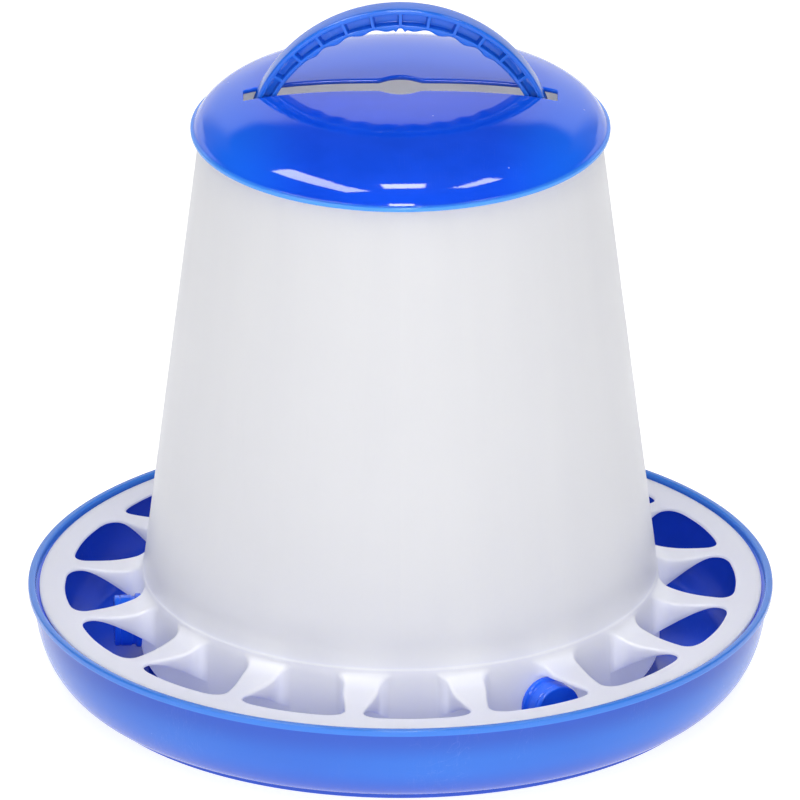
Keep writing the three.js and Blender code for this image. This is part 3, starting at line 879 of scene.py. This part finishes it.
# ------------------------------------------------------------------ lid
def lid_crown():
    """Outside of the dome as (radius, height), from the brim up to the middle."""
    knots = [
        (BRIM_RADIUS - 1.7, 2.6),
        (BRIM_RADIUS - 3.2, 5.4),
        (BRIM_RADIUS - 6.5, 9.5),
        (BRIM_RADIUS - 12.5, 13.6),
        (80, 17.4),
        (70, 19.8),
        (55, 22.0),
        (35, 23.5),
        (15, 23.95),
        (0, LID_RISE),
    ]
    points = []
    for i in range(len(knots) - 1):
        a = Vector(knots[max(i - 1, 0)])
        b, c = Vector(knots[i]), Vector(knots[i + 1])
        d = Vector(knots[min(i + 2, len(knots) - 1)])
        for k in range(8):
            t = k / 8
            point = 0.5 * (2 * b + (c - a) * t + (2 * a - 5 * b + 4 * c - d) * t * t
                           + (3 * b - a - 3 * c + d) * t ** 3)
            points.append((point.x, point.y + LID_BASE))
    points.append((0.0, LID_BASE + LID_RISE))
    return points


def height_on(path, radius):
    """Height of a path of (radius, height) points at a radius."""
    for (r0, z0), (r1, z1) in zip(path, path[1:]):
        if min(r0, r1) <= radius <= max(r0, r1):
            share = (radius - r0) / (r1 - r0) if r1 != r0 else 0
            return z0 + (z1 - z0) * share
    return path[-1][1] if radius < path[-1][0] else path[0][1]


def slot_point(angle, grow):
    """The slot's outline, with the round eye in its middle, at an angle that runs round it."""
    length = SLOT_HALF_LENGTH + grow
    width = SLOT_HALF_WIDTH + grow
    tip = math.radians(16)
    folded = math.asin(min(abs(math.sin(angle)), 1))
    side = 1 if math.sin(angle) >= 0 else -1
    facing = 1 if math.cos(angle) >= 0 else -1
    if folded < tip:
        y = width * folded / tip
        corner = max(y - (width - SLOT_CORNER), 0)
        x = length - SLOT_CORNER + math.sqrt(max(SLOT_CORNER ** 2 - corner ** 2, 0))
        return facing * x, side * y
    x = (length - SLOT_CORNER) * math.cos(folded) / math.cos(tip)
    eye = math.sqrt(max((EYE_RADIUS + grow) ** 2 - x * x, 0))
    blend = 1.2
    y = math.log(math.exp(width / blend) + math.exp(eye / blend)) * blend
    y = width + (y - width) * smooth_step((30 - x) / 12)
    return facing * x, side * y


def lid():
    bm = bmesh.new()
    crown = lid_crown()
    inside = offset(crown, WALL)
    steps = 384
    plain = 86  # outside this radius the rows are circles
    angles = [TURN * i / steps for i in range(steps)]

    def dome_rows(path, slot_edge, count):
        rows = []
        for k in range(count + 1):
            t = (k / count) ** 1.3
            row = []
            for angle in angles:
                sx, sy = slot_point(angle, slot_edge)
                x = sx + (plain * math.cos(angle) - sx) * t
                y = sy + (plain * math.sin(angle) - sy) * t
                row.append((x, y, height_on(path, math.hypot(x, y))))
            rows.append(row)
        return rows

    def circles(points):
        return [[(r * math.cos(a), r * math.sin(a), z) for a in angles] for r, z in points]

    top = dome_rows(crown, 0.5, 22)
    beneath = dome_rows(inside, 0.5, 22)
    wall = []
    for drop in (0.25, 0.8, WALL - 0.5):
        grow = 0.15 if drop == 0.25 else 0
        row = []
        for angle in angles:
            x, y = slot_point(angle, grow)
            row.append((x, y, height_on(crown, math.hypot(x, y)) - drop))
        wall.append(row)
    shoulder = [point for point in crown[::-1] if point[0] > plain + 1]
    brim = rounded([
        shoulder[-1] + (0,),
        (BRIM_RADIUS - 1.2, LID_BASE + BRIM_THICKNESS, 0.8),
        (BRIM_RADIUS, LID_BASE + 2.1, 0.7),
        (BRIM_RADIUS, LID_BASE, 0.8),
        (BRIM_RADIUS - 2.4, LID_BASE, 0.6),
        (inside[0][0] - 0.2, LID_BASE + 2.6, 0),
    ])
    rib, rib_inner = LID_RIB_RADIUS, LID_RIB_RADIUS - LID_RIB_WALL
    rib_foot = LID_BASE - LID_RIB_DROP
    inner_high = [point for point in inside[2:] if point[0] > rib + 0.4]
    drop_to = height_on(inside, rib)
    rib_path = rounded([
        (rib, drop_to, 0),
        (rib, rib_foot, 0.5),
        (rib_inner, rib_foot, 0.5),
        (rib_inner, height_on(inside, rib_inner), 0),
    ])
    inner_low = [point for point in inside if plain + 1 < point[0] < rib_inner - 0.6]
    turned = circles(shoulder[:-1] + brim + inner_high + rib_path + inner_low)
    rows = wall[::-1] + top + turned + beneath[::-1]
    add_grid(bm, rows, wrap_rows=True)
    return make_piece(bm, "blue_lid", LID_BLUE, "lid", ["lid"], sharp=50)


# ------------------------------------------------------------------ handle
def grip_radius(degrees):
    """Inside of the arch: thicker at the top, with finger waves and two small teeth in the middle."""
    plain = ARCH_RADIUS - HANDLE_BAND - GRIP_THICKENING * math.cos(math.radians(degrees)) ** 2
    fade = 1 - smooth_step((abs(degrees) - GRIP_HALF + 8) / 8)
    wave = 0.75 * math.cos(TURN * degrees / RIB_PITCH) - 0.45
    tooth = 1.5 * math.exp(-((abs(degrees) - 1.9) / 0.75) ** 2)
    return plain, plain + fade * wave - tooth


def pocket_share(degrees):
    """1 in the middle of a side pocket, 0 on a rib and on the plain legs."""
    cell = abs(degrees) / RIB_PITCH
    if cell > CELLS_PER_SIDE:
        return 0
    from_rib = min(cell % 1, 1 - cell % 1) * RIB_PITCH
    arc = math.radians(from_rib) * ARCH_RADIUS
    return smooth_step((arc - RIB_THICKNESS / 2) / 0.7)


def handle_section(degrees):
    """Closed outline across the handle as (sideways, radius), an I with rounded edges."""
    plain, inner = grip_radius(degrees)
    half = HANDLE_HALF_WIDTH
    web = half - (half - 1.0) * pocket_share(degrees)
    low, high = plain + 2.1, ARCH_RADIUS - 2.7
    side = rounded([
        (0, ARCH_RADIUS, 0),
        (half, ARCH_RADIUS, 1.3),
        (half, high, 0.5),
        (web, high, 0.6),
        (web, low, 0.6),
        (half, low, 0.5),
        (half, inner, 1.0),
        (0, inner, 0),
    ], steps=4)
    return side + [(-y, r) for y, r in side[-2:0:-1]]


def handle_stations():
    """Angles along the arch: close together at each rib's faces, wider between them."""
    stations = {0.0}
    for i in range(180):
        stations.add(i * 0.5)
    rib_half = math.degrees(RIB_THICKNESS / 2 / ARCH_RADIUS)
    for cell in range(CELLS_PER_SIDE + 1):
        for side in (-1, 1):
            for extra in (0, 0.18, 0.35, 0.55):
                at = cell * RIB_PITCH + side * (rib_half + extra)
                if at > 0:
                    stations.add(round(at, 4))
    half = sorted(a for a in stations if a <= 90) + [90.0]
    return [-a for a in half[:0:-1]] + half


def handle():
    bm = bmesh.new()
    rows = []
    for degrees in handle_stations():
        a = math.radians(degrees)
        rows.append([(r * math.sin(a), y, ARCH_Z + r * math.cos(a)) for y, r in handle_section(degrees)])
    made = add_grid(bm, rows)
    shoulder = BRACKET_Z + 0.3
    for end, side in ((made[0], -1), (made[-1], 1)):
        lower = [bm.verts.new((v.co.x, v.co.y, shoulder * MM)) for v in end]
        for j, vertex in enumerate(end):
            k = (j + 1) % len(end)
            bm.faces.new((vertex, end[k], lower[k], lower[j]))
        add_cap(bm, lower)
        add_foot(bm, side)
    return make_piece(bm, "blue_handle", HANDLE_BLUE, "hopper", ["handle"], sharp=40)


def add_foot(bm, side):
    """The stem through the shelf and the barb that holds it."""
    half = STEM_WIDTH / 2
    under = BRACKET_Z - BRACKET_THICKNESS - 0.3
    outline = [
        (half, BRACKET_Z + 1),
        (half, under),
        (half + BARB_REACH, under),
        (half + BARB_REACH, under - BARB_EDGE),
        (1, under - BARB_LENGTH),
        (-1, under - BARB_LENGTH),
        (-half - BARB_REACH, under - BARB_EDGE),
        (-half - BARB_REACH, under),
        (-half, under),
        (-half, BRACKET_Z + 1),
    ]
    width = HANDLE_HALF_WIDTH
    rows = []
    for y, pull in ((-width, 0.3), (-width + 0.3, 0), (width - 0.3, 0), (width, 0.3)):
        rows.append([(side * STEM_X + x * (1 - pull / 3), y, z) for x, z in outline])
    made = add_grid(bm, rows)
    bm.faces.new(made[0])
    bm.faces.new(made[-1])


# ------------------------------------------------------------------ clamp knobs
def clamp_knob(index):
    bm = bmesh.new()
    r, length = KNOB_RADIUS, KNOB_LENGTH
    bore = BORE_RADIUS
    groove, groove_depth = length - 3.1, 0.35
    flange, waist = r + 0.7, r - 0.6
    section = rounded([
        (0.0, length - 2.5, 0),
        (bore, length - 2.5, 0.4),
        (bore, 0.3, 0.4),
        (flange, 0.3, 0.5),
        (flange, 2.8, 0.7),
        (waist, 3.5, 0.5),
        (waist, 4.7, 0.5),
        (r, 5.3, 0.5),
        (r, groove - 0.3, 0.3),
        (r - groove_depth, groove, 0.3),
        (r - groove_depth, groove + 0.4, 0.3),
        (r, groove + 0.7, 0.3),
        (r - 0.1, length, 1.8),
        (r - 2.6, length - 0.25, 1.0),
        (0.0, length - 0.25, 0),
    ])
    add_lathe(bm, section, steps=96)
    turn = Matrix.Rotation(math.radians(KNOB_PHASE + KNOB_PITCH * index), 4, "Z")
    lay = Matrix.Rotation(math.radians(90), 4, "X")
    out = Matrix.Translation((0, -SKIRT_RADIUS * MM, KNOB_Z * MM))
    bm.transform(turn @ out @ lay)
    number = index + 1
    name = f"blue_clamp_knob_{number}"
    return make_piece(bm, name, KNOB_BLUE, f"knob_{number}", [f"clamp_knob_{number}"])


# ------------------------------------------------------------------ stage, light and camera
def stage_material(name, colour):
    """A back-lit white table top, so that shadows on it stay faint."""
    graph = Graph(name)
    place = object_coordinates(graph)
    grain = graph.noise(place, 3.0, detail=2.0)
    base = graph.mix(grain, colour, tuple(min(c * 1.01, 1) for c in colour[:3]) + (1,))
    settings = {"Base Color": base, "Roughness": 0.75, "Emission Color": base, "Emission Strength": 1.7}
    return graph.finish(graph.add("BsdfPrincipled", settings))


def make_floor():
    bm = bmesh.new()
    ends = (-FLOOR_HALF_SIZE, FLOOR_HALF_SIZE)
    rows = [[(x, y, -0.05) for x in ends] for y in ends]
    add_grid(bm, rows, wrap_columns=False)
    mesh = bpy.data.meshes.new("floor")
    bm.to_mesh(mesh)
    bm.free()
    mesh.materials.append(stage_material("floor_white", (0.50, 0.50, 0.505, 1)))
    floor = bpy.data.objects.new("floor", mesh)
    bpy.context.scene.collection.objects.link(floor)


def area_light(name, place, target, size, power, only_gloss=False):
    """A softbox that either lights surfaces without showing in them, or only shows in them."""
    light = bpy.data.lights.new(name, "AREA")
    light.shape = "RECTANGLE"
    light.size, light.size_y = size
    light.energy = power
    lamp = bpy.data.objects.new(name, light)
    lamp.location = place
    lamp.rotation_euler = (Vector(target) - Vector(place)).to_track_quat("-Z", "Y").to_euler()
    lamp.visible_glossy = only_gloss
    lamp.visible_diffuse = not only_gloss
    bpy.context.scene.collection.objects.link(lamp)


def make_world():
    """A white backdrop behind and low down all round, and a dark room above and in front."""
    world = bpy.data.worlds.new("studio")
    bpy.context.scene.world = world
    world.use_nodes = True
    nodes, links = world.node_tree.nodes, world.node_tree.links
    direction = nodes.new("ShaderNodeTexCoord")
    parts = nodes.new("ShaderNodeSeparateXYZ")
    links.new(direction.outputs["Generated"], parts.inputs[0])

    def step(source, low, high, to_low, to_high):
        node = nodes.new("ShaderNodeMapRange")
        node.interpolation_type = "SMOOTHSTEP"
        for key, value in (("From Min", low), ("From Max", high), ("To Min", to_low), ("To Max", to_high)):
            node.inputs[key].default_value = value
        links.new(source, node.inputs["Value"])
        return node.outputs["Result"]

    fade_from, fade_to = math.sin(math.radians(29)), math.sin(math.radians(36))
    below_backdrop_top = step(parts.outputs["Z"], fade_from, fade_to, 1.0, 0.0)
    near_horizon = step(parts.outputs["Z"], 0.02, 0.16, 1.0, 0.0)
    behind = step(parts.outputs["Y"], 0.30, 0.75, 0.0, 1.0)
    backdrop = nodes.new("ShaderNodeMath")
    backdrop.operation = "MULTIPLY"
    links.new(below_backdrop_top, backdrop.inputs[0])
    links.new(behind, backdrop.inputs[1])
    sideways = nodes.new("ShaderNodeMath")
    sideways.operation = "ABSOLUTE"
    links.new(parts.outputs["X"], sideways.inputs[0])
    narrow = nodes.new("ShaderNodeMath")
    narrow.operation = "MULTIPLY"
    links.new(backdrop.outputs[0], narrow.inputs[0])
    links.new(step(sideways.outputs[0], 0.28, 0.60, 1.0, 0.35), narrow.inputs[1])
    bright = nodes.new("ShaderNodeMath")
    bright.operation = "MAXIMUM"
    links.new(narrow.outputs[0], bright.inputs[0])
    links.new(near_horizon, bright.inputs[1])
    background = nodes["Background"]
    background.inputs["Color"].default_value = (1, 1, 1, 1)
    links.new(step(bright.outputs[0], 0.0, 1.0, 0.09, 1.15), background.inputs["Strength"])


def make_light():
    make_world()
    target = (0, 0, 0.17)
    area_light("top_fill", (0, -0.4, 2.6), target, (2.6, 2.6), 54)
    area_light("front_fill", (0, -3.2, 1.1), target, (2.4, 1.8), 53)
    area_light("left_softbox", (-1.05, -0.45, 2.10), target, (1.70, 0.60), 40, only_gloss=True)
    area_light("right_softbox", (1.00, -0.45, 2.10), target, (0.73, 0.36), 11, only_gloss=True)
    area_light("front_lamp", (0.035, -0.42, 2.10), target, (0.47, 0.30), 8, only_gloss=True)
    area_light("low_lamp", (0.02, -2.20, 1.15), target, (0.50, 0.50), 18, only_gloss=True)


def make_camera():
    """From straight in front, and so far away that its view is nearly parallel."""
    camera = bpy.data.cameras.new("camera")
    camera.sensor_width = 36
    camera.lens = 1600
    distance = WIDTH_SEEN * MM * camera.lens / camera.sensor_width
    elevation = math.radians(VIEW_ELEVATION)
    back = Vector((0, -math.cos(elevation), math.sin(elevation)))
    target = Vector((-0.0002, 0, 0.1427))
    camera.clip_start = 1
    camera.clip_end = 200
    holder = bpy.data.objects.new("camera", camera)
    holder.location = target + back * distance
    holder.rotation_euler = (-back).to_track_quat("-Z", "Y").to_euler()
    bpy.context.scene.collection.objects.link(holder)
    bpy.context.scene.camera = holder


make_camera()
make_light()
make_floor()
bpy.context.scene.view_settings.view_transform = "Standard"

base_pan()
feed_ring()
hopper()
lid()
handle()
for knob in range(KNOB_COUNT):
    clamp_knob(knob)
for number in range(1, KNOB_COUNT + 1):
    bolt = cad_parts[f"clamp_bolt_{number}"]
    bolt.data.materials.clear()
    bolt.data.materials.append(KNOB_BLUE)
